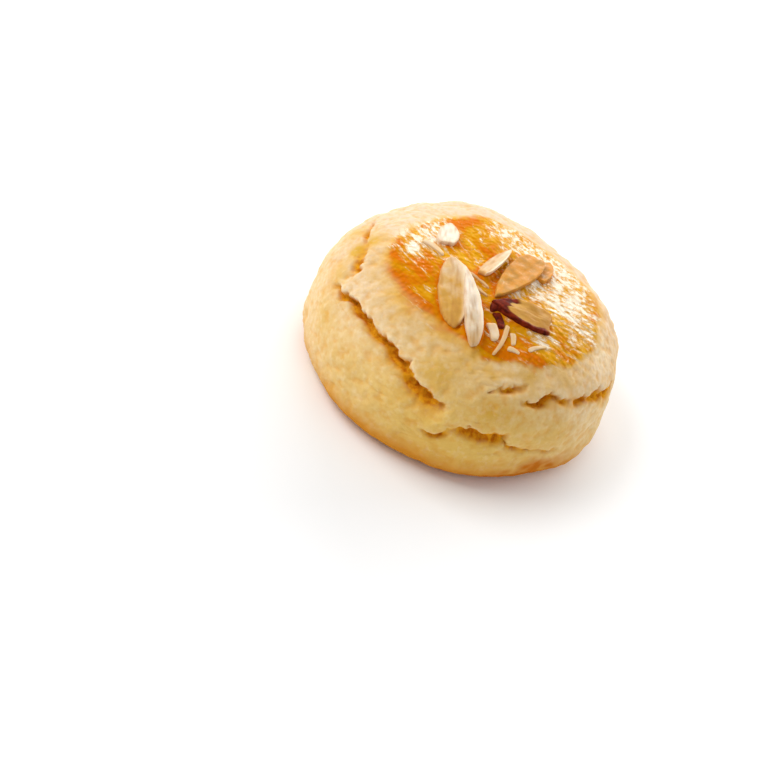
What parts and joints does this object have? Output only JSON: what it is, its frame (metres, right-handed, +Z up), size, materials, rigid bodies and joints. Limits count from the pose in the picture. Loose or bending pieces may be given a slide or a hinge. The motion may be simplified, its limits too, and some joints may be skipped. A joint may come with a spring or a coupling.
{
  "type": "nankhatai",
  "caption": "Thick round shortbread biscuit with a cracked side, an egg-washed top and sliced almonds lying on it.",
  "frame": {"origin": "middle of the biscuit's flat base", "axes": "+Z up from the flat base to the domed top, -Y towards the side with the long front crack"},
  "size_m": [0.0552, 0.0551, 0.0267],
  "materials": {
    "dough": "matte",
    "almond": "satin"
  },
  "bodies": {
    "root": {"biscuit": "dough", "almond_front_left": "almond", "almond_front_right": "almond", "almond_middle": "almond", "almond_back": "almond", "almond_back_right": "almond", "almond_right": "almond", "almond_back_left": "almond"}
  },
  "joints": []
}
